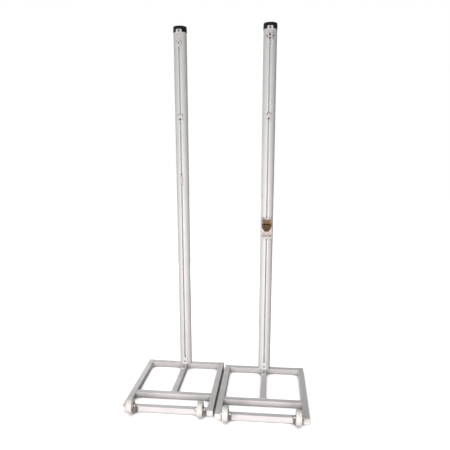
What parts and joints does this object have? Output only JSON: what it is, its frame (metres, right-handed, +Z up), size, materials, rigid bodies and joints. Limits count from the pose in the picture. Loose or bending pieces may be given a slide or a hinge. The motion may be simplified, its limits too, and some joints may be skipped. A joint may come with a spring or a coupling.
{
  "type": "pair of free-standing volleyball posts",
  "caption": "Pair of slotted round volleyball posts on wheeled box-tube base frames, with caps, cord fittings, a pulley, a cleat and a worm-drive net tensioner.",
  "frame": {"origin": "on the floor at the centre of the pair's outline, between the two base frames", "axes": "+Z up, +X from the left post to the right post, -Y to the front, where the slots and fittings are"},
  "size_m": [1.216, 0.8679, 2.5],
  "materials": {
    "frame_paint": "satin grey-white powder coat",
    "pole_metal": "fine brushed and anodised, drawn lengthwise",
    "black_plastic": "moulded, slightly sheened",
    "white_plastic": "moulded white",
    "wheel_nylon": "cream white nylon, slightly worn",
    "zinc_steel": "bright zinc plated",
    "white_cast": "pale powder coat on cast aluminium",
    "white_sheet": "off-white powder coat on steel sheet",
    "bronze": "cast bronze, brown patina",
    "gear_bronze": "machined bronze",
    "dark_steel": "oiled steel",
    "plug_alloy": "sand cast"
  },
  "bodies": {
    "left_post": {"left_base_frame": "frame_paint", "left_rail_caps": "white_plastic", "left_pole": "pole_metal", "left_foot_plug": "plug_alloy", "left_plug_bolts": "zinc_steel", "left_foot_bracket": "white_cast", "left_foot_bolts": "zinc_steel", "left_foot_t_nut": "zinc_steel", "left_top_cap": "black_plastic", "left_cord_guide": "white_cast", "left_guide_screw": "dark_steel", "left_wheel_forks": "zinc_steel", "left_fork_screws": "zinc_steel", "left_wheel_sleeves": "zinc_steel", "left_axle_bolts": "zinc_steel", "left_axle_nuts": "zinc_steel"},
    "left_inner_wheel": {"left_inner_wheel": "wheel_nylon"},
    "left_outer_wheel": {"left_outer_wheel": "wheel_nylon"},
    "left_net_slider": {"left_net_slider": "white_cast"},
    "left_slider_knob": {"left_slider_knob": "dark_steel"},
    "right_post": {"right_base_frame": "frame_paint", "right_rail_caps": "white_plastic", "right_pole": "pole_metal", "right_foot_plug": "plug_alloy", "right_plug_bolts": "zinc_steel", "right_foot_bracket": "white_cast", "right_foot_bolts": "zinc_steel", "right_foot_t_nut": "zinc_steel", "right_top_cap": "black_plastic", "right_cord_guide": "white_cast", "right_guide_screw": "dark_steel", "right_wheel_forks": "zinc_steel", "right_fork_screws": "zinc_steel", "right_wheel_sleeves": "zinc_steel", "right_axle_bolts": "zinc_steel", "right_axle_nuts": "zinc_steel"},
    "right_inner_wheel": {"right_inner_wheel": "wheel_nylon"},
    "right_outer_wheel": {"right_outer_wheel": "wheel_nylon"},
    "right_net_slider": {"right_net_slider": "white_cast"},
    "right_slider_knob": {"right_slider_knob": "dark_steel"},
    "left_top_hook": {"left_top_hook": "white_cast", "left_hook_screw": "zinc_steel"},
    "left_rope_cleat": {"left_rope_cleat": "white_cast", "left_cleat_screws": "zinc_steel", "left_cleat_t_nuts": "zinc_steel"},
    "right_pulley": {"right_pulley_block": "white_cast", "right_sheave_pin": "dark_steel", "right_pulley_screw": "zinc_steel"},
    "right_sheave": {"right_pulley_sheave": "white_plastic"},
    "right_tensioner": {"right_tension_saddle": "white_sheet", "right_saddle_screws": "zinc_steel", "right_saddle_t_nuts": "zinc_steel", "right_tensioner_housing": "bronze"},
    "right_drum": {"right_cord_drum": "bronze", "right_worm_wheel": "gear_bronze", "right_drum_rings": "dark_steel"},
    "right_worm": {"right_worm_shaft": "dark_steel"}
  },
  "joints": [
    {"name": "posts_apart", "type": "slide", "parent": "left_post", "child": "right_post", "axis": [1, 0, 0], "range_m": [0, 0.7]},
    {"name": "left_inner_wheel_spin", "type": "hinge", "parent": "left_post", "child": "left_inner_wheel", "pos_m": [-0.082, -0.34797, 0.077], "axis": [1, 0, 0], "continuous": true},
    {"name": "left_outer_wheel_spin", "type": "hinge", "parent": "left_post", "child": "left_outer_wheel", "pos_m": [-0.534, -0.34797, 0.077], "axis": [1, 0, 0], "continuous": true},
    {"name": "left_net_slider_height", "type": "slide", "parent": "left_post", "child": "left_net_slider", "axis": [0, 0, 1], "range_m": [-0.25, 0.18]},
    {"name": "left_slider_knob_turn", "type": "hinge", "parent": "left_net_slider", "child": "left_slider_knob", "pos_m": [-0.308, 0.33448, 1.888], "axis": [0, -1, 0], "range_deg": [-450, 0]},
    {"name": "right_inner_wheel_spin", "type": "hinge", "parent": "right_post", "child": "right_inner_wheel", "pos_m": [0.082, -0.38398, 0.077], "axis": [1, 0, 0], "continuous": true},
    {"name": "right_outer_wheel_spin", "type": "hinge", "parent": "right_post", "child": "right_outer_wheel", "pos_m": [0.534, -0.38398, 0.077], "axis": [1, 0, 0], "continuous": true},
    {"name": "right_net_slider_height", "type": "slide", "parent": "right_post", "child": "right_net_slider", "axis": [0, 0, 1], "range_m": [-0.25, 0.18]},
    {"name": "right_slider_knob_turn", "type": "hinge", "parent": "right_net_slider", "child": "right_slider_knob", "pos_m": [0.308, 0.29847, 1.888], "axis": [0, -1, 0], "range_deg": [-450, 0]},
    {"name": "left_hook_height", "type": "slide", "parent": "left_post", "child": "left_top_hook", "axis": [0, 0, 1], "range_m": [-0.19, 0]},
    {"name": "left_cleat_height", "type": "slide", "parent": "left_post", "child": "left_rope_cleat", "axis": [0, 0, 1], "range_m": [-0.2, 0.1]},
    {"name": "right_pulley_height", "type": "slide", "parent": "right_post", "child": "right_pulley", "axis": [0, 0, 1], "range_m": [-0.19, 0]},
    {"name": "right_sheave_spin", "type": "hinge", "parent": "right_pulley", "child": "right_sheave", "pos_m": [0.308, 0.29497, 2.41], "axis": [1, 0, 0], "continuous": true},
    {"name": "right_tensioner_height", "type": "slide", "parent": "right_post", "child": "right_tensioner", "axis": [0, 0, 1], "range_m": [-0.2, 0.25]},
    {"name": "right_drum_spin", "type": "hinge", "parent": "right_tensioner", "child": "right_drum", "pos_m": [0.308, 0.27703, 1.158], "axis": [1, 0, 0], "continuous": true},
    {"name": "right_worm_turn", "type": "hinge", "parent": "right_tensioner", "child": "right_worm", "pos_m": [0.308, 0.27703, 1.1335], "axis": [0, 1, 0], "continuous": true}
  ],
  "couplings": [
    {"joint": "right_worm_turn", "follows": "right_drum_spin", "ratio": -24}
  ]
}
